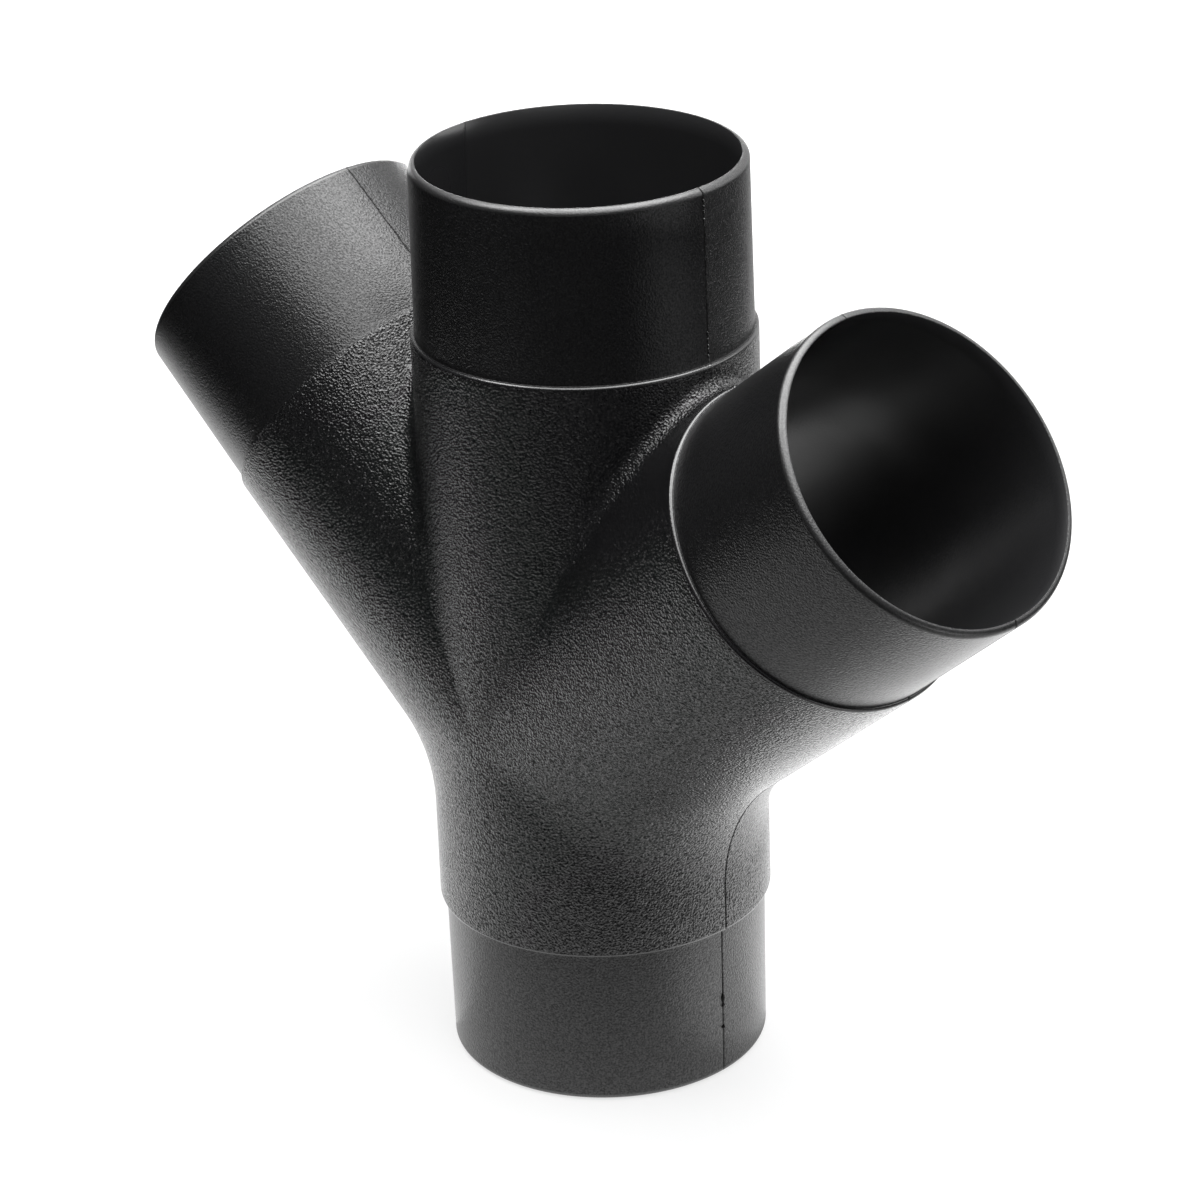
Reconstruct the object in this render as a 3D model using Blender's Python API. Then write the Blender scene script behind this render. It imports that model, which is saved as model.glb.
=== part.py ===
"""Three-way duct connector: one blow-moulded polyethylene body that splits one inlet into three outlets.

Four equal tubes meet at one crossing point, all in the plane of the mould's joint: the inlet comes up from
below, one outlet goes straight on and two tilt away to the left and right. Rolling-ball blends join them.
The part stands on its inlet's rim, with +Z up the inlet, the two arms along -X and +X, and the mould's joint
in the plane Y = 0. The origin is the centre of the inlet's rim.
"""

import math

import bmesh
import bpy
from mathutils import Vector

for leftover in list(bpy.data.objects):
    bpy.data.objects.remove(leftover)

MM = 0.001

# Driving sizes.
OUTLET_TIP_RADIUS = 49.6 * MM  # outside of an outlet spigot at its mouth, for 100 mm duct
INLET_UNDERSIZE = 0.7 * MM  # how much slimmer in radius the inlet's spigot is
SPIGOT_TAPER = 0.5 * MM  # how much wider in radius a spigot is at its root
OUTLET_SPIGOT_LENGTH = 52.4 * MM
INLET_SPIGOT_LENGTH = 50.6 * MM
SHOULDER_HEIGHT = 1.2 * MM  # stop that the duct is pushed up to, above the outlet spigot's root
SHOULDER_CORNER = 0.2 * MM  # hollow corner at the foot of the shoulder
SHOULDER_ROUNDING = 0.6 * MM  # outer edge of the shoulder
WALL = 2.2 * MM  # of a spigot
BODY_WALL = 3.0 * MM  # of the body, where the blown wall stays thicker
RIM_FLAT = 0.3 * MM  # flat ring left on each rim, next to the bore
RIM_RADIUS = 4.3 * MM  # rounding that turns a spigot's outside in towards its bore
INNER_STEP_ABOVE = 8.5 * MM  # the bore widens softly from here above a shoulder
INNER_STEP_BELOW = 1.5 * MM  # to here below it
ARM_TILT = math.radians(50.5)  # each arm's axis from the vertical
CROTCH_RADIUS = 4.0 * MM  # ball that blends the upper tube into an arm, at the crotch
CREASE_RADIUS = 7.5 * MM  # the same blend where the crease runs out, on the front and the back
THROAT_RADIUS = 53.5 * MM  # ball that blends an arm into the inlet tube
CROTCH_LAND = 3.0 * MM  # straight tube between the crotch blend and the shoulder
THROAT_LAND = 13.9 * MM  # straight tube between the throat blend and the inlet's shoulder
MOULD_LINE_WIDTH = 0.6 * MM  # groove where the two halves of the mould met
MOULD_LINE_DEPTH = 0.22 * MM

# How finely the curves are cut.
SECTIONS = 28  # sections through each blend, from front to back
CROTCH_STEPS = 6
THROAT_STEPS = 8
RIM_STEPS = 4
CORNER_STEPS = 2
EDGE_STEPS = 3
SMOOTH_ANGLE = math.radians(33)  # edges that turn more than this stay crisp
SAME_POINT = 0.001 * MM

BLACK = (0.012, 0.012, 0.013, 1.0)

# What follows from them.
body_radius = OUTLET_TIP_RADIUS + SPIGOT_TAPER + SHOULDER_HEIGHT
body_bore = body_radius - BODY_WALL
inlet_tip_radius = OUTLET_TIP_RADIUS - INLET_UNDERSIZE
upper_half_angle = ARM_TILT / 2
lower_half_angle = (math.pi - ARM_TILT) / 2
upper_reach = (body_radius + CROTCH_RADIUS) / math.tan(upper_half_angle) + CROTCH_LAND
lower_reach = (body_radius + THROAT_RADIUS) / math.tan(lower_half_angle) + THROAT_LAND
crossing = Vector((0, 0, INLET_SPIGOT_LENGTH + lower_reach))


class Limb:
    """One tube: its tilt from the vertical, how far its shoulder is from the crossing, and its spigot."""

    def __init__(self, tilt, reach, tip_radius, spigot_length):
        self.axis = Vector((math.sin(tilt), 0, math.cos(tilt)))
        self.side = Vector((math.cos(tilt), 0, -math.sin(tilt)))
        self.tilt = tilt
        self.reach = reach
        self.tip = tip_radius
        self.root = tip_radius + SPIGOT_TAPER
        self.mouth = reach + spigot_length

    def outer_profile(self):
        """(radius, distance along the axis), from the bore's edge at the mouth to the shoulder's outside."""
        start = math.acos((RIM_RADIUS - WALL + RIM_FLAT) / RIM_RADIUS)
        rim = arc((self.tip - RIM_RADIUS, self.mouth - RIM_RADIUS * math.sin(start)),
                  RIM_RADIUS, start, 0, RIM_STEPS)
        corner = arc((self.root + SHOULDER_CORNER, self.reach + SHOULDER_CORNER),
                     SHOULDER_CORNER, math.pi, 1.5 * math.pi, CORNER_STEPS)
        edge = arc((body_radius - SHOULDER_ROUNDING, self.reach - SHOULDER_ROUNDING),
                   SHOULDER_ROUNDING, math.pi / 2, 0, EDGE_STEPS)
        return [(self.tip - WALL, self.mouth)] + rim + corner + edge

    def inner_profile(self):
        """The bore, from just behind its edge to where the body's full width begins."""
        start = (self.root - WALL, self.reach + INNER_STEP_ABOVE)
        end = (body_bore, self.reach - INNER_STEP_BELOW)
        middle = ((start[0] + end[0]) / 2, (start[1] + end[1]) / 2)
        return [start, middle, end]


def arc(centre, radius, start, end, steps):
    """Points of an arc in the (radius, distance) plane."""
    points = []
    for step in range(steps + 1):
        angle = start + (end - start) * step / steps
        points.append((centre[0] + radius * math.cos(angle), centre[1] + radius * math.sin(angle)))
    return points


def radial(limb, facing, turn):
    """Unit vector out of the tube: facing is +1 or -1 along the limb's side, turn runs from front to back."""
    return limb.side * (facing * math.cos(turn)) + Vector((0, math.sin(turn), 0))


def blend_points(first, second, turn, tube_radius, ball, steps):
    """The arc that a ball resting on both tubes leaves between them, in the section at this turn."""
    half_angle = (second.tilt - first.tilt) / 2
    bisector_tilt = first.tilt + half_angle
    bisector = Vector((math.sin(bisector_tilt), 0, math.cos(bisector_tilt)))
    off_axis = tube_radius + ball
    centre = crossing + bisector * (off_axis * math.cos(turn) / math.sin(half_angle))
    centre.y += off_axis * math.sin(turn)
    start = radial(first, 1, turn)
    end = radial(second, -1, turn)
    points = []
    for step in range(steps + 1):
        outward = start.slerp(end, step / steps, start)
        points.append((centre - outward * ball, outward))
    return points


def limb_points(limb, facing, turn, profile):
    """A turned profile laid on the tube at this turn, with the way out of the wall at each point."""
    outward = radial(limb, facing, turn)
    return [(crossing + limb.axis * along + outward * radius, outward) for radius, along in profile]


def wall_section(first, second, turn, balls, steps, groove):
    """The closed outline of the wall, from one mouth down its tube, round the blend and up to the next."""
    joint_ball, crease_ball = balls
    ball = joint_ball + (crease_ball - joint_ball) * math.sin(turn) ** 2
    outside = limb_points(first, 1, turn, first.outer_profile())
    outside += blend_points(first, second, turn, body_radius, ball, steps)
    outside += reversed(limb_points(second, -1, turn, second.outer_profile()))
    inside = limb_points(first, 1, turn, first.inner_profile())
    inside += blend_points(first, second, turn, body_bore, ball + BODY_WALL, steps)
    inside += reversed(limb_points(second, -1, turn, second.inner_profile()))
    bore_edges = outside[0][0], outside[-1][0]
    skin = [point - outward * groove for point, outward in outside[1:-1]]
    bore = [point for point, outward in reversed(inside)]
    return [bore_edges[0]] + skin + [bore_edges[1]] + bore


def turns():
    """Section angles from front to back, with a close pair about the middle for the mould line's groove."""
    half_groove = MOULD_LINE_WIDTH / 2 / body_radius
    angles = [math.pi * (step / SECTIONS - 0.5) for step in range(SECTIONS + 1)]
    middle = SECTIONS // 2
    return angles[:middle] + [-half_groove, 0.0, half_groove] + angles[middle + 1:]


def loft(bm, loops):
    """Skins a row of closed loops that have as many points each."""
    rows = [[bm.verts.new(point) for point in loop] for loop in loops]
    for row, next_row in zip(rows, rows[1:]):
        for index in range(len(row)):
            following = (index + 1) % len(row)
            bm.faces.new((row[index], row[following], next_row[following], next_row[index]))


def connector_mesh():
    """The whole wall: a loft for each of the four angles between neighbouring tubes, joined in one shell."""
    left, top, right = (Limb(tilt, upper_reach, OUTLET_TIP_RADIUS, OUTLET_SPIGOT_LENGTH)
                        for tilt in (-ARM_TILT, 0, ARM_TILT))
    inlet_from_left, inlet_from_right = (Limb(tilt, lower_reach, inlet_tip_radius, INLET_SPIGOT_LENGTH)
                                         for tilt in (-math.pi, math.pi))
    crotch = (CROTCH_RADIUS, CREASE_RADIUS)
    throat = (THROAT_RADIUS, THROAT_RADIUS)
    bm = bmesh.new()
    for first, second, balls, steps in ((left, top, crotch, CROTCH_STEPS),
                                        (top, right, crotch, CROTCH_STEPS),
                                        (right, inlet_from_right, throat, THROAT_STEPS),
                                        (inlet_from_left, left, throat, THROAT_STEPS)):
        loops = []
        for turn in turns():
            groove = MOULD_LINE_DEPTH if turn == 0.0 else 0.0
            loops.append(wall_section(first, second, turn, balls, steps, groove))
        loft(bm, loops)
    bmesh.ops.remove_doubles(bm, verts=bm.verts, dist=SAME_POINT)
    bmesh.ops.dissolve_degenerate(bm, edges=bm.edges, dist=SAME_POINT)
    bmesh.ops.recalc_face_normals(bm, faces=bm.faces)
    mesh = bpy.data.meshes.new("duct_connector")
    bm.to_mesh(mesh)
    bm.free()
    mesh.shade_smooth()
    mesh.set_sharp_from_angle(angle=SMOOTH_ANGLE)
    return mesh


def polyethylene():
    """Black moulded polyethylene with a fine grain, which reads as a satin black."""
    material = bpy.data.materials.new("black_polyethylene")
    material.use_nodes = True
    shader = material.node_tree.nodes["Principled BSDF"]
    shader.inputs["Base Color"].default_value = BLACK
    shader.inputs["Roughness"].default_value = 0.45
    shader.inputs["Metallic"].default_value = 0.0
    return material


connector = bpy.data.objects.new("duct_connector", connector_mesh())
connector.data.materials.append(polyethylene())
bpy.context.scene.collection.objects.link(connector)
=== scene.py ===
"""A three-way duct connector, blow-moulded in black polyethylene, standing on its inlet on a studio table."""

import math

import bmesh
import bpy
from mathutils import Matrix, Vector, noise


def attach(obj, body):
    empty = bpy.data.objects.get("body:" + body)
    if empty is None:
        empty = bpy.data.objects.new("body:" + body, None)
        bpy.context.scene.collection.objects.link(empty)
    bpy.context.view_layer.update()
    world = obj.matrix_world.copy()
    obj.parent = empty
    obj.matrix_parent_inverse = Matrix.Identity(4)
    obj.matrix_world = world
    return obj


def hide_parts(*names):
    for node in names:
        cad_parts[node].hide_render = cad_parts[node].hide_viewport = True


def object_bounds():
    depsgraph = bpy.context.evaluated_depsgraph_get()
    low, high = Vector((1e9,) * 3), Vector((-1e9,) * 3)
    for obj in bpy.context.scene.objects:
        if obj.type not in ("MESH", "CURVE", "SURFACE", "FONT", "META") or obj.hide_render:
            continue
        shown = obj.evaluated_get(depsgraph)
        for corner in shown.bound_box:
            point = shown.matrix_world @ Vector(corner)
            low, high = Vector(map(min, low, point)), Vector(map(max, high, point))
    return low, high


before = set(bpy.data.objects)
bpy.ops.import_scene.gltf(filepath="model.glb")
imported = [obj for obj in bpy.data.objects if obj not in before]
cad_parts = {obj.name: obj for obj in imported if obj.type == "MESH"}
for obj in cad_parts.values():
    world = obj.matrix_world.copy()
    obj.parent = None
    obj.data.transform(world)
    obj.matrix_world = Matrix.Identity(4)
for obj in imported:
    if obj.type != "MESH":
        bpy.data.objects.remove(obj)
cad_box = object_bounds()


# The moulded shell. One blown polyethylene wall with four open tubes: the inlet below, and a straight and two
# slanted outlets above. A tube of hot plastic was blown against the two halves of a mould, which met in the
# plane of the four tubes, and the mouths were trimmed and eased afterwards.

MM = 0.001

outlet_tip_radius = 49.6 * MM  # outside of an outlet spigot at its mouth, for 100 mm duct
inlet_tip_radius = 48.9 * MM
spigot_taper = 0.5 * MM  # how much wider in radius a spigot is at its root
outlet_spigot_length = 52.4 * MM
inlet_spigot_length = 50.6 * MM
shoulder_height = 1.2 * MM
shoulder_corner = 0.1 * MM
shoulder_rounding = 0.9 * MM
wall = 2.2 * MM  # of a spigot
body_wall = 3.0 * MM
rim_flat = 0.3 * MM  # flat ring left on each rim, next to the bore
rim_radius = 2.0 * MM
rim_ease = 0.1 * MM  # the bore's trimmed edge
inner_step_above = 13 * MM  # the bore widens softly from here above a shoulder
inner_step_below = 9 * MM  # to here below it
arm_tilt = math.radians(50.5)
crotch_ball = 4.0 * MM  # blend between the upper tube and an arm
crease_ball = 7.5 * MM  # the same blend where it runs out, on the front and the back
throat_ball = 53.5 * MM  # blend between an arm and the inlet
crotch_land = 3.0 * MM  # straight tube between a blend and the shoulder
throat_land = 13.9 * MM

mould_line_width = 0.8 * MM
mould_line_depth = 0.35 * MM
mould_line_margin = 0.2 * MM  # where the skin is level again beside it
line_inner_share = 0.7  # of the half width, where it is nearly at full depth
line_inner_depth = 0.9
weld_line_depth = 0.15 * MM  # the same joint, seen faintly in the bores
line_slack = 1.15  # how far the mould's halves stood open at the foot, as a share of the depth
line_tightening_per_mm = 0.0026  # and how they closed with the height
long_waver = 0.7  # these too are shares of the depth
long_waver_per_mm = 0.06
short_waver = 0.45
short_waver_per_mm = 0.35
tallest_flash = -1.2
widest_crack = 1.5
flash_height = 221 * MM  # the crotches, where plastic squeezed out
flash_spread = 13 * MM
flash_rise = 2.4
left_crack = 0.8  # how much further the joint gapes along the left arm
left_crack_start = -50 * MM  # in X
left_crack_run = 10 * MM
shaded_crack_depth = mould_line_depth / 4  # a deeper crack gets the dark, dull finish of painted shade, and the rest is a smooth, bright edge

sections_per_blend = 64
rim_rows = 16
spigot_rows = 34
corner_rows = 4
edge_rows = 6
body_rows = 26
crotch_rows = 16
throat_rows = 30
spigot_bore_rows = 6
inner_step_rows = 8
body_bore_rows = 5
plain_rim_rows = 4  # the first rows of a rim, which the mould line doesn't reach
same_point = 0.0005 * MM

body_radius = outlet_tip_radius + spigot_taper + shoulder_height
upper_reach = (body_radius + crotch_ball) / math.tan(arm_tilt / 2) + crotch_land
lower_reach = (body_radius + throat_ball) / math.tan((math.pi - arm_tilt) / 2) + throat_land
crossing = Vector((0, 0, inlet_spigot_length + lower_reach))

SPIGOT, BODY, RIM, BORE, LINE, EDGE = range(6)


class Tube:
    """One of the four tubes: where it points, its spigot's sizes and the finish of its shoulder's edge."""

    def __init__(self, tilt, reach, tip_radius, spigot_length, shoulder_edge):
        self.tilt = tilt
        self.axis = Vector((math.sin(tilt), 0, math.cos(tilt)))
        self.side = Vector((math.cos(tilt), 0, -math.sin(tilt)))
        self.reach = reach
        self.tip = tip_radius
        self.root = tip_radius + spigot_taper
        self.mouth = reach + spigot_length
        self.shoulder_edge = shoulder_edge

    def skin(self, contact):
        """(radius, distance, zone) down the outside, from the bore's edge to where the blend begins."""
        rows = [(self.tip - wall, self.mouth - rim_ease, SPIGOT),
                (self.tip - wall + rim_ease, self.mouth, SPIGOT)]
        start = math.acos((rim_radius - wall + rim_flat) / rim_radius)
        rim = quarter((self.tip - rim_radius, self.mouth - rim_radius * math.sin(start)),
                      rim_radius, start, 0, rim_rows)
        rows += [(*place, RIM) for place in rim[:-1]] + [(*rim[-1], SPIGOT)]
        foot = (self.root, self.reach + shoulder_corner)
        rows += [(*between(rim[-1], foot, row / spigot_rows), SPIGOT) for row in range(1, spigot_rows)]
        corner = quarter((self.root + shoulder_corner, self.reach + shoulder_corner),
                         shoulder_corner, math.pi, 1.5 * math.pi, corner_rows)
        rows += [(*place, SPIGOT) for place in corner]
        edge = quarter((body_radius - shoulder_rounding, self.reach - shoulder_rounding),
                       shoulder_rounding, math.pi / 2, 0, edge_rows)
        rows += [(*place, self.shoulder_edge) for place in edge]
        lower = (body_radius, contact)
        rows += [(*between(edge[-1], lower, row / body_rows), BODY) for row in range(1, body_rows)]
        return rows

    def bore(self, contact):
        """(radius, distance, zone) down the inside, from the bore's eased edge to where the blend begins."""
        root = self.root - wall
        chamber = body_radius - body_wall
        mouth = (self.tip - wall, self.mouth)
        start = self.reach + inner_step_above
        rows = [(*between(mouth, (root, start), row / spigot_bore_rows), BORE)
                for row in range(1, spigot_bore_rows)]
        for row in range(inner_step_rows + 1):
            share = row / inner_step_rows
            soft = share * share * (3 - 2 * share)
            along = start - (inner_step_above + inner_step_below) * share
            rows.append((root + (chamber - root) * soft, along, BORE))
        upper = rows[-1][:2]
        lower = (chamber, contact)
        rows += [(*between(upper, lower, row / body_bore_rows), BORE) for row in range(1, body_bore_rows)]
        return rows


def between(start, end, share):
    return tuple(a + (b - a) * share for a, b in zip(start, end))


def quarter(centre, radius, start, end, steps):
    """Points of an arc, a quarter turn or less, in the (radius, distance) plane."""
    angles = [start + (end - start) * step / steps for step in range(steps + 1)]
    return [(centre[0] + radius * math.cos(angle), centre[1] + radius * math.sin(angle)) for angle in angles]


def way_out(tube, facing, turn):
    """Out of the tube's wall: facing is +1 or -1 along the tube's side, and turn runs from front to back."""
    return tube.side * (facing * math.cos(turn)) + Vector((0, math.sin(turn), 0))


def laid_on(tube, facing, turn, rows):
    out = way_out(tube, facing, turn)
    return [(crossing + tube.axis * along + out * radius, out, zone) for radius, along, zone in rows]


def ball_arc(first, second, turn, radius, ball, rows, zone):
    """What a ball that rests on both tubes leaves between them."""
    half_angle = (second.tilt - first.tilt) / 2
    middle = first.tilt + half_angle
    centre = crossing + Vector((math.sin(middle), 0, math.cos(middle))) * (
        (radius + ball) * math.cos(turn) / math.sin(half_angle))
    centre.y += (radius + ball) * math.sin(turn)
    start = way_out(first, 1, turn)
    end = way_out(second, -1, turn)
    arc = []
    for row in range(rows + 1):
        out = start.slerp(end, row / rows, start)
        arc.append((centre - out * ball, out, zone))
    return arc


def mould_line_sink(place, share):
    """How far the skin sinks at the mould line, and below zero how far it stands up.

    It is a thin crack that wavers, widest low down and along the left arm, and a flash at the crotches.
    """
    millimetres = place / MM
    slack = line_slack - line_tightening_per_mm * millimetres.z
    flash = flash_rise * math.exp(-((place.z - flash_height) / flash_spread) ** 2)
    crack = left_crack * max(0, min(1, (left_crack_start - place.x) / left_crack_run))
    open_here = (slack - flash + crack + long_waver * noise.noise(millimetres * long_waver_per_mm)
                 + short_waver * noise.noise(millimetres * short_waver_per_mm))
    return mould_line_depth * share * max(tallest_flash, min(widest_crack, open_here))


def wall_outline(first, second, turn, balls, rows, line_share):
    """The closed outline of the wall at one turn: down a tube, round the blend, up the next, back inside."""
    ball = balls[0] + (balls[1] - balls[0]) * math.sin(turn) ** 2
    half_angle = (second.tilt - first.tilt) / 2
    contact = (body_radius + ball) * math.cos(turn) / math.tan(half_angle)
    skin = laid_on(first, 1, turn, first.skin(contact))
    skin += ball_arc(first, second, turn, body_radius, ball, rows, BODY)
    skin += reversed(laid_on(second, -1, turn, second.skin(contact)))
    bore = laid_on(first, 1, turn, first.bore(contact))
    bore += ball_arc(first, second, turn, body_radius - body_wall, ball + body_wall, rows, BORE)
    bore += reversed(laid_on(second, -1, turn, second.bore(contact)))
    outline = []
    for row, (place, out, zone) in enumerate(skin):
        on_rim = min(row, len(skin) - 1 - row) < plain_rim_rows
        sink = 0 if on_rim else mould_line_sink(place, line_share)
        outline.append((place - out * sink, zone))
    for place, out, zone in reversed(bore):
        outline.append((place + out * weld_line_depth * line_share, zone))
    return outline


def shell_turns():
    """(turn, share of the mould line's depth) from front to back, close together about the mould line."""
    turns = [(math.pi * (step / sections_per_blend - 0.5), 0.0) for step in range(sections_per_blend + 1)]
    half = mould_line_width / 2 / body_radius
    margin = half + mould_line_margin / body_radius
    inner = half * line_inner_share
    line = [(-margin, 0.0), (-half, 0.0), (-inner, line_inner_depth), (0.0, 1.0), (inner, line_inner_depth),
            (half, 0.0), (margin, 0.0)]
    middle = sections_per_blend // 2
    return turns[:middle] + line + turns[middle + 1:]


def zone_of(here, there):
    """A strip between two zones: the rims and smooth edges keep only what lies wholly in them."""
    for zone in (BORE, SPIGOT, BODY, EDGE):
        if zone in (here, there):
            return zone
    return RIM


def moulded_shell():
    """The whole wall: a loft for each of the four angles between neighbouring tubes, joined in one shell.

    The left arm's shoulder looks softer than the others, so the body's grain runs over its edge.
    """
    left, top, right = (Tube(tilt, upper_reach, outlet_tip_radius, outlet_spigot_length, shoulder_edge)
                        for tilt, shoulder_edge in ((-arm_tilt, BODY), (0, EDGE), (arm_tilt, EDGE)))
    inlet_left, inlet_right = (Tube(tilt, lower_reach, inlet_tip_radius, inlet_spigot_length, EDGE)
                               for tilt in (-math.pi, math.pi))
    crotch = (crotch_ball, crease_ball)
    throat = (throat_ball, throat_ball)
    bm = bmesh.new()
    for first, second, balls, rows in ((left, top, crotch, crotch_rows), (top, right, crotch, crotch_rows),
                                       (right, inlet_right, throat, throat_rows),
                                       (inlet_left, left, throat, throat_rows)):
        previous = None
        previous_share = 0.0
        for turn, line_share in shell_turns():
            outline = wall_outline(first, second, turn, balls, rows, line_share)
            ring = [(bm.verts.new(place), zone) for place, zone in outline]
            if previous:
                for index in range(len(ring)):
                    after = (index + 1) % len(ring)
                    face = bm.faces.new((previous[index][0], previous[after][0],
                                         ring[after][0], ring[index][0]))
                    face.material_index = zone_of(previous[index][1], previous[after][1])
                    # The deeper parts of the crack get the nearly black finish of painted shade.
                    if min(line_share, previous_share) > 0 and face.material_index != BORE:
                        sink = mould_line_sink(face.calc_center_median(), 1)
                        face.material_index = LINE if sink > shaded_crack_depth else EDGE
            previous = ring
            previous_share = line_share
    bmesh.ops.remove_doubles(bm, verts=bm.verts, dist=same_point)
    bmesh.ops.dissolve_degenerate(bm, edges=bm.edges, dist=same_point)
    bmesh.ops.recalc_face_normals(bm, faces=bm.faces)
    mesh = bpy.data.meshes.new("moulded_shell")
    bm.to_mesh(mesh)
    bm.free()
    mesh.shade_smooth()
    return mesh


# The shell's finish. High-density polyethylene coloured through with carbon black, straight from a mould that
# was blasted coarse on the body and finer on the spigots, which leaves a worm-like grain with a satin sheen.
# The real grain is about half a millimetre wide, and it is drawn a little wider so that it shows in a render.

polyethylene_ior = 1.62
noise_low = 0.3  # between these lies nearly all of a noise pattern
noise_high = 0.7
sheen_unevenness = 0.02
back_half_coarseness = 1.5  # the mould's other half was blasted coarser and left a duller skin
back_half_dullness = 0.07
half_joint = 0.05 * MM


def linear(hex_colour):
    """An sRGB hex colour as linear red, green, blue and alpha."""
    channels = [int(hex_colour[i:i + 2], 16) / 255 for i in (1, 3, 5)]
    return [c / 12.92 if c <= 0.04045 else ((c + 0.055) / 1.055) ** 2.4 for c in channels] + [1.0]


def node(tree, kind, settings=None, in_order=(), **by_name):
    """Adds a node with its settings. Its inputs, in order or by name, are values or other nodes' outputs."""
    added = tree.nodes.new(kind)
    for name, value in (settings or {}).items():
        setattr(added, name, value)
    inputs = list(zip(added.inputs, in_order))
    for name, value in by_name.items():
        socket = next(s for s in added.inputs if s.name.replace(" ", "_") == name and s.enabled)
        inputs.append((socket, value))
    for socket, value in inputs:
        if isinstance(value, bpy.types.NodeSocket):
            tree.links.new(value, socket)
        else:
            socket.default_value = value
    return added


def moulded_polyethylene(name, colour, roughness, shine, grain_mm, grain_depth_mm, painted_pit_shade, wave_mm,
                         wave_depth_mm):
    """Carbon-black polyethylene, coarser on the back half. Its sheen is painted weaker in the grain's pits,
    as shade.
    """
    material = bpy.data.materials.new(name)
    material.use_nodes = True
    tree = material.node_tree
    shader = tree.nodes["Principled BSDF"]
    shader.inputs["Base Color"].default_value = linear(colour)
    shader.inputs["IOR"].default_value = polyethylene_ior
    shader.inputs["Metallic"].default_value = 0.0
    shader.inputs["Specular IOR Level"].default_value = shine
    place = node(tree, "ShaderNodeTexCoord").outputs["Object"]
    grain = node(tree, "ShaderNodeTexNoise", Vector=place, Scale=1 / (grain_mm * MM),
                 Detail=1.0, Roughness=0.4).outputs["Fac"]
    # Painted shade: the sheen's level follows the grain, lowest in its pits as if they lay in shadow.
    if painted_pit_shade:
        pit_shade_level = node(tree, "ShaderNodeMapRange", Value=grain, From_Min=noise_low, From_Max=noise_high,
                    To_Min=shine - painted_pit_shade, To_Max=shine + painted_pit_shade)
        tree.links.new(pit_shade_level.outputs["Result"], shader.inputs["Specular IOR Level"])
    to_back = node(tree, "ShaderNodeSeparateXYZ", Vector=place).outputs["Y"]
    back_half = node(tree, "ShaderNodeMapRange", Value=to_back, From_Min=-half_joint, From_Max=half_joint)
    depth = node(tree, "ShaderNodeMapRange", Value=back_half.outputs["Result"],
                 To_Min=grain_depth_mm * MM, To_Max=grain_depth_mm * MM * back_half_coarseness)
    waves = node(tree, "ShaderNodeTexNoise", Vector=place, Scale=1 / (wave_mm * MM),
                 Detail=0.0).outputs["Fac"]
    wavy = node(tree, "ShaderNodeBump", Strength=1.0, Distance=wave_depth_mm * MM, Height=waves)
    grained = node(tree, "ShaderNodeBump", Strength=1.0, Distance=depth.outputs["Result"],
                   Height=grain, Normal=wavy.outputs["Normal"])
    tree.links.new(grained.outputs["Normal"], shader.inputs["Normal"])
    sheen = node(tree, "ShaderNodeMapRange", Value=waves, From_Min=noise_low, From_Max=noise_high,
                 To_Min=roughness - sheen_unevenness, To_Max=roughness + sheen_unevenness)
    duller = node(tree, "ShaderNodeMath", {"operation": "MULTIPLY_ADD"},
                  (back_half.outputs["Result"], back_half_dullness, sheen.outputs["Result"]))
    tree.links.new(duller.outputs["Value"], shader.inputs["Roughness"])
    return material


# Finely blasted: a quiet satin that carries broad, soft lights.
spigot_finish = moulded_polyethylene(
    "fine_grained_polyethylene", "#0e0e0f", roughness=0.32, shine=0.5,
    grain_mm=0.6, grain_depth_mm=0.17, painted_pit_shade=0.2, wave_mm=30, wave_depth_mm=0.2)

# Coarsely blasted: a lively grain, bright on its tips and black in its pits, which carry the most painted
# shade.
body_finish = moulded_polyethylene(
    "coarse_grained_polyethylene", "#0e0e0f", roughness=0.24, shine=0.5,
    grain_mm=0.66, grain_depth_mm=0.42, painted_pit_shade=0.42, wave_mm=30, wave_depth_mm=0.2)

# Trimmed and eased: duller, so that each rim shows as a soft grey ring.
rim_finish = moulded_polyethylene(
    "eased_rim_polyethylene", "#0f0f10", roughness=0.38, shine=0.85,
    grain_mm=0.5, grain_depth_mm=0.07, painted_pit_shade=0.15, wave_mm=12, wave_depth_mm=0.05)

# Moulded against a polished edge of the tool: smooth, with a fine bright line along it.
edge_finish = moulded_polyethylene(
    "shoulder_edge_polyethylene", "#0f0f10", roughness=0.24, shine=0.9,
    grain_mm=0.6, grain_depth_mm=0.04, painted_pit_shade=0.1, wave_mm=12, wave_depth_mm=0.05)

# Blown and never against a tool: smooth, a little wavy and glossier, with long soft reflections, and painted
# lighter than the outside, as light inside the tubes.
bore_painted_light_finish = moulded_polyethylene(
    "blown_bore_polyethylene", "#1d1d1e", roughness=0.26, shine=0.55,
    grain_mm=0.8, grain_depth_mm=0.015, painted_pit_shade=0.0, wave_mm=18, wave_depth_mm=0.15)

# The crack between the mould's halves and the dull beads of flash: dull, and nearly black, as painted shade
# in the crack and on the beads.
crack_painted_shade_finish = moulded_polyethylene(
    "mould_line_polyethylene", "#060606", roughness=0.6, shine=0.15,
    grain_mm=0.4, grain_depth_mm=0.05, painted_pit_shade=0.0, wave_mm=12, wave_depth_mm=0.02)

shell = bpy.data.objects.new("moulded_shell", moulded_shell())
for finish in (spigot_finish, body_finish, rim_finish, bore_painted_light_finish, crack_painted_shade_finish, edge_finish):
    shell.data.materials.append(finish)
bpy.context.scene.collection.objects.link(shell)
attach(shell, "root")
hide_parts("duct_connector")


# Flash nibs. Small beads of plastic that squeezed out of the mould's joint and stayed on it: three dull ones,
# nearly black with painted shade, on the inlet's spigot, and fine, bright ones at the right of the upper
# tube, by its shoulder and its mouth.

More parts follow.
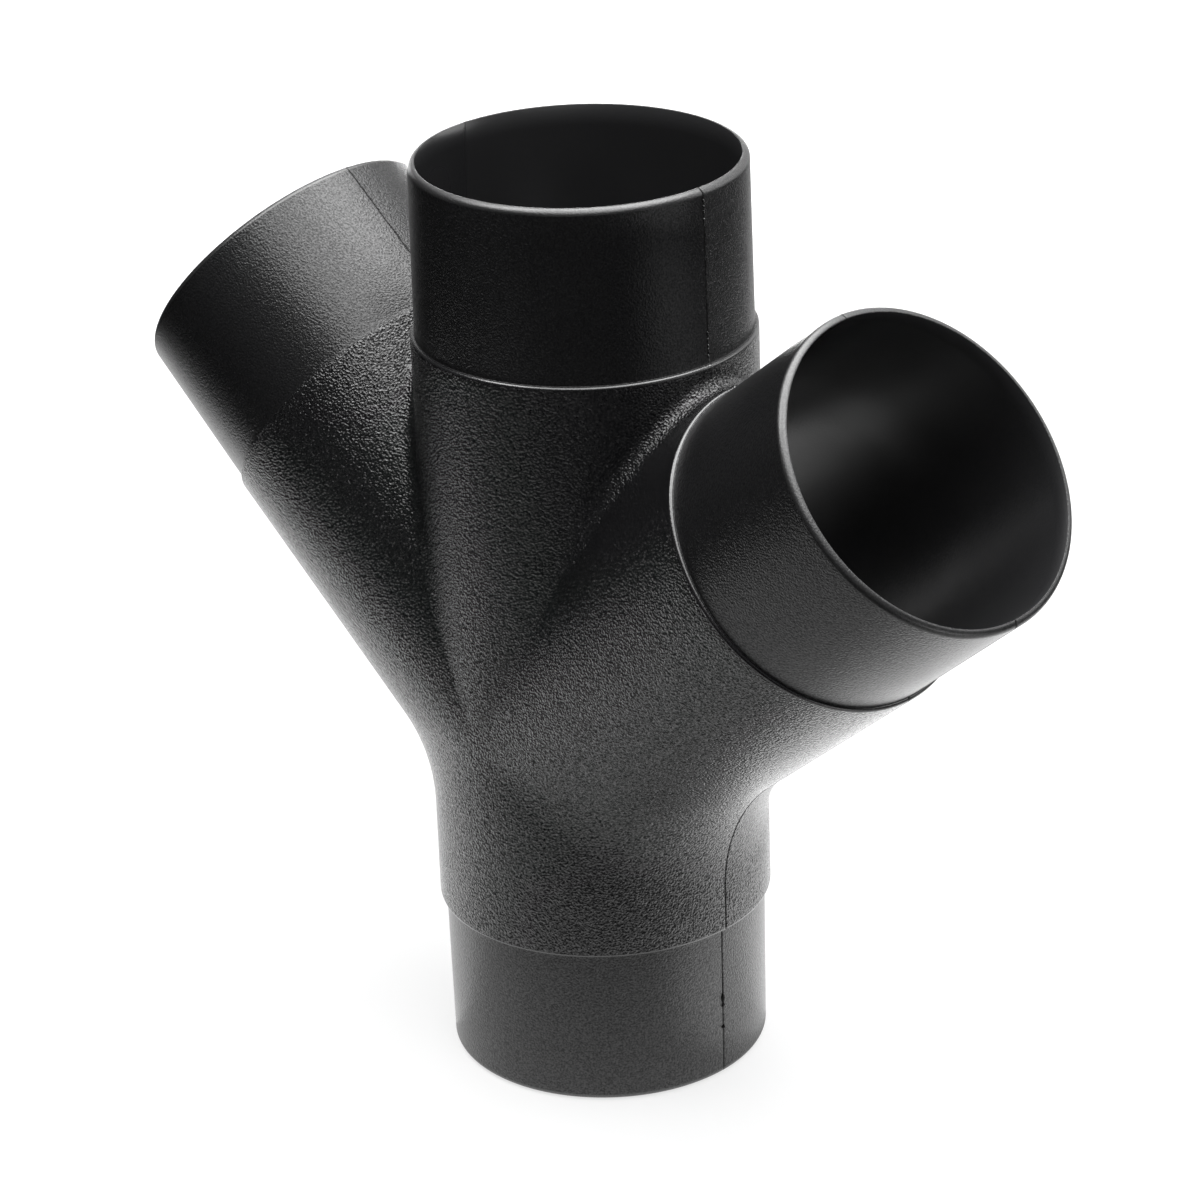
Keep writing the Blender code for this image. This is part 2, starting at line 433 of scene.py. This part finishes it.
inlet_nibs_mm = ((26.4, 1.5), (23.8, 0.6), (16.2, 0.5))  # height and half length of each
inlet_nib_half_width = 0.6 * MM
inlet_nib_unevenness = 0.25 * MM
fine_nibs_mm = ((227.6, 0.3), (228.4, 0.4), (229.5, 0.5), (230.6, 0.5), (231.9, 0.7), (233.2, 0.6),
                (235.0, 0.6), (236.3, 0.8), (238.1, 1.0), (239.6, 0.6), (241.2, 0.9), (243.4, 0.5),
                (277.8, 0.3), (279.9, 0.5), (281.6, 0.3), (283.2, 0.4))
fine_nib_half_width = 0.3 * MM
fine_nib_unevenness = 0.15 * MM
nib_lumps = 0.7 * MM
nib_seed = 2  # without a seed, the lumps would start from the clock and differ in each run
upper_shoulder = crossing.z + upper_reach
crotch_start = upper_shoulder - crotch_land


def inlet_radius(height):
    return inlet_tip_radius + spigot_taper * height / inlet_spigot_length


def upper_radius(height):
    """How far out the right of the upper tube is: its spigot, its body, or the crotch's ball below that."""
    if height < crotch_start:
        return body_radius + crotch_ball - math.sqrt(crotch_ball ** 2 - (crotch_start - height) ** 2)
    if height < upper_shoulder:
        return body_radius
    to_mouth = upper_shoulder + outlet_spigot_length - height
    return outlet_tip_radius + spigot_taper * to_mouth / outlet_spigot_length


def nibs(name, radius_at, places_mm, half_width, unevenness, finish):
    """Beads at these heights on the mould line at the right of a tube, whose radius is given for each."""
    bm = bmesh.new()
    for height_mm, half_length_mm in places_mm:
        height = height_mm * MM
        size = (half_width, half_width, half_length_mm * MM, 1)
        bead = Matrix.Translation((radius_at(height), 0, height)) @ Matrix.Diagonal(size)
        bmesh.ops.create_icosphere(bm, subdivisions=3, radius=1.0, matrix=bead)
    for corner in bm.verts:
        corner.co += noise.noise_vector(corner.co / nib_lumps) * unevenness
    mesh = bpy.data.meshes.new(name)
    bm.to_mesh(mesh)
    bm.free()
    mesh.shade_smooth()
    mesh.materials.append(finish)
    beads = bpy.data.objects.new(name, mesh)
    bpy.context.scene.collection.objects.link(beads)
    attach(beads, "root")


noise.seed_set(nib_seed)
nibs("inlet_flash_nibs", inlet_radius, inlet_nibs_mm, inlet_nib_half_width, inlet_nib_unevenness, crack_painted_shade_finish)
nibs("fine_flash_nibs", upper_radius, fine_nibs_mm, fine_nib_half_width, fine_nib_unevenness, edge_finish)


# The table. A plain pale matt top under the connector. For the camera it glows white, a painted glow that is
# weaker round the inlet's foot, where the lamps' light and the soft shadow show through it. In the plastic's
# reflections it glows white only along a strip that runs away from the camera, under the part and behind it,
# and that fades on the near side.

table_half_width = 3.0
table_gap = 0.2 * MM
table_colour = linear("#c8c8c8")
shadow_colour = linear("#8c8c8c")  # takes the lamps' light and the shadow, under the white that is added
foot_light = 0.7
foot_light_radius = 0.3
full_light = 1.0
full_light_radius = 1.2
strip_turn = math.radians(45.5)  # from the X axis to the camera's right
strip_half_width = 0.34
strip_side_fade = 0.1
strip_front = -0.35
strip_full_from = -0.03

table_mesh = bpy.data.meshes.new("studio_table")
table_bm = bmesh.new()
bmesh.ops.create_grid(table_bm, x_segments=1, y_segments=1, size=table_half_width)
table_bm.to_mesh(table_mesh)
table_bm.free()
table = bpy.data.objects.new("studio_table", table_mesh)
table.location.z = cad_box[0][2] - table_gap
bpy.context.scene.collection.objects.link(table)

table_finish = bpy.data.materials.new("white_table")
table_finish.use_nodes = True
tree = table_finish.node_tree
tree.nodes.clear()
on_table = node(tree, "ShaderNodeTexCoord").outputs["Object"]
from_foot = node(tree, "ShaderNodeVectorMath", {"operation": "LENGTH"}, (on_table,)).outputs["Value"]
lit = node(tree, "ShaderNodeMapRange", {"interpolation_type": "SMOOTHSTEP"}, Value=from_foot,
           From_Min=foot_light_radius, From_Max=full_light_radius, To_Min=foot_light, To_Max=full_light)
painted_glow = node(tree, "ShaderNodeEmission", Color=linear("#ffffff"), Strength=lit.outputs["Result"])
shadowed = node(tree, "ShaderNodeBsdfDiffuse", Color=shadow_colour)
seen = node(tree, "ShaderNodeAddShader", {}, (shadowed.outputs["BSDF"], painted_glow.outputs["Emission"]))
turned = node(tree, "ShaderNodeMapping", {"vector_type": "TEXTURE"}, Vector=on_table,
              Rotation=(0, 0, strip_turn))
on_strip = node(tree, "ShaderNodeSeparateXYZ", Vector=turned.outputs["Vector"])
off_middle = node(tree, "ShaderNodeMath", {"operation": "ABSOLUTE"}, (on_strip.outputs["X"],))
sides = node(tree, "ShaderNodeMapRange", {"interpolation_type": "SMOOTHSTEP"},
             Value=off_middle.outputs["Value"], From_Min=strip_half_width,
             From_Max=strip_half_width + strip_side_fade, To_Min=1.0, To_Max=0.0)
strip = node(tree, "ShaderNodeMapRange", Value=on_strip.outputs["Y"],
             From_Min=strip_front, From_Max=strip_full_from, To_Max=sides.outputs["Result"])
strip_glow = node(tree, "ShaderNodeEmission", Color=linear("#ffffff"), Strength=strip.outputs["Result"])
matt = node(tree, "ShaderNodeBsdfDiffuse", Color=table_colour)
ray = node(tree, "ShaderNodeLightPath")
unseen = node(tree, "ShaderNodeMixShader", {},
              (ray.outputs["Is Glossy Ray"], matt.outputs["BSDF"], strip_glow.outputs["Emission"]))
table_look = node(tree, "ShaderNodeMixShader", {},
                  (ray.outputs["Is Camera Ray"], unseen.outputs["Shader"], seen.outputs["Shader"]))
node(tree, "ShaderNodeOutputMaterial", Surface=table_look.outputs["Shader"])
table_mesh.materials.append(table_finish)


# The studio. A surround that is white for the camera and dim for the part, six soft boxes in one plane
# overhead, brightest to the left and back, five upright ones behind, and three cards of light that lie on the
# table. The side towards the camera falls dark, and the lower edges get their bright lines from behind.

surround_light = 0.06
overhead_height = 1.3
behind_distance = 1.2
behind_width = 0.8
card_height = 0.001

world = bpy.data.worlds.new("white_surround")
bpy.context.scene.world = world
world.use_nodes = True
tree = world.node_tree
tree.nodes.clear()
white = node(tree, "ShaderNodeBackground", Color=linear("#ffffff"), Strength=1.0)
dim = node(tree, "ShaderNodeBackground", Color=linear("#ffffff"), Strength=surround_light)
ray = node(tree, "ShaderNodeLightPath")
surround = node(tree, "ShaderNodeMixShader", {},
                (ray.outputs["Is Camera Ray"], dim.outputs["Background"], white.outputs["Background"]))
node(tree, "ShaderNodeOutputWorld", Surface=surround.outputs["Shader"])


def soft_box(name, place, turns, width, height, watts):
    """A rectangular soft box that the camera doesn't see. Unturned, it lies flat and faces down."""
    lamp = bpy.data.lights.new(name, "AREA")
    lamp.shape = "RECTANGLE"
    lamp.size = width
    lamp.size_y = height
    lamp.energy = watts
    box = bpy.data.objects.new(name, lamp)
    box.location = place
    box.rotation_euler = turns
    box.visible_camera = False
    bpy.context.scene.collection.objects.link(box)


for name, to_right, to_back, width, depth, watts in (("left", -0.45, 0.05, 0.48, 1.74, 18.9),
                                                     ("back", 0.243, 0.48, 0.9, 0.86, 15.0),
                                                     ("front", 0.243, -0.4, 0.9, 0.86, 8.3),
                                                     ("right", 0.93, 0.05, 0.48, 1.74, 6.7),
                                                     ("near", 0.59, -0.305, 0.6, 0.6, 5.9),
                                                     ("middle", 0.08, -0.1, 0.5, 0.5, 4.5)):
    soft_box("overhead_" + name, (to_right, to_back, overhead_height), (0, 0, 0), width, depth, watts)

for name, bearing, middle_height, height, watts in (("behind_right", 57, 0.675, 0.55, 3.6),
                                                    ("behind", 100, 0.675, 0.55, 1.6),
                                                    ("behind_left", 142, 0.675, 0.55, 0.9),
                                                    ("low_behind", 100, 0.185, 0.33, 1.1),
                                                    ("low_behind_left", 142, 0.185, 0.33, 9.0)):
    angle = math.radians(bearing)
    place = (behind_distance * math.cos(angle), behind_distance * math.sin(angle), middle_height)
    soft_box(name, place, (math.pi / 2, 0, angle + math.pi / 2), behind_width, height, watts)

for name, away, across, depth, width, watts in (("under", 0.7, 0.0, 1.4, 0.7, 1.8),
                                                ("beside", 0.05, 0.2, 0.27, 0.3, 0.2),
                                                ("near_right", -0.45, 0.675, 0.3, 0.65, 1.2)):
    place = Matrix.Rotation(strip_turn, 3, "Z") @ Vector((across, away, card_height))
    soft_box("lit_table_" + name, place, (math.pi, 0, strip_turn), width, depth, watts)


# The camera, where the photograph was taken from: about 1.3 m away, 24 degrees up, to the right of the front.
# These numbers come from fitting the rims, steps and outlines to the photograph.

camera_turn = math.radians(44.5436)
camera_height = math.radians(24.1627)
camera_roll = math.radians(-2.1555)
camera_distance = 1.30142
focal_pixels = 4310.45
photo_pixels = 1200
sensor_width = 36  # millimetres
aim_right = 0.0015009
aim_up = 0.14544

back = Vector((math.cos(camera_turn) * math.cos(camera_height),
               -math.sin(camera_turn) * math.cos(camera_height), math.sin(camera_height)))
right = Vector((math.sin(camera_turn), math.cos(camera_turn), 0))
up = back.cross(right)
rolled_right = right * math.cos(camera_roll) + up * math.sin(camera_roll)
rolled_up = up * math.cos(camera_roll) - right * math.sin(camera_roll)
aim = Vector((0, 0, aim_up)) + right * aim_right
stand = aim + back * camera_distance
lens = bpy.data.cameras.new("camera")
lens.sensor_width = sensor_width
lens.lens = sensor_width * focal_pixels / photo_pixels
camera = bpy.data.objects.new("camera", lens)
camera.matrix_world = Matrix([[rolled_right[i], rolled_up[i], back[i], stand[i]] for i in range(3)]
                             + [[0, 0, 0, 1]])
bpy.context.scene.collection.objects.link(camera)
bpy.context.scene.camera = camera

bpy.context.scene.view_settings.view_transform = "Standard"
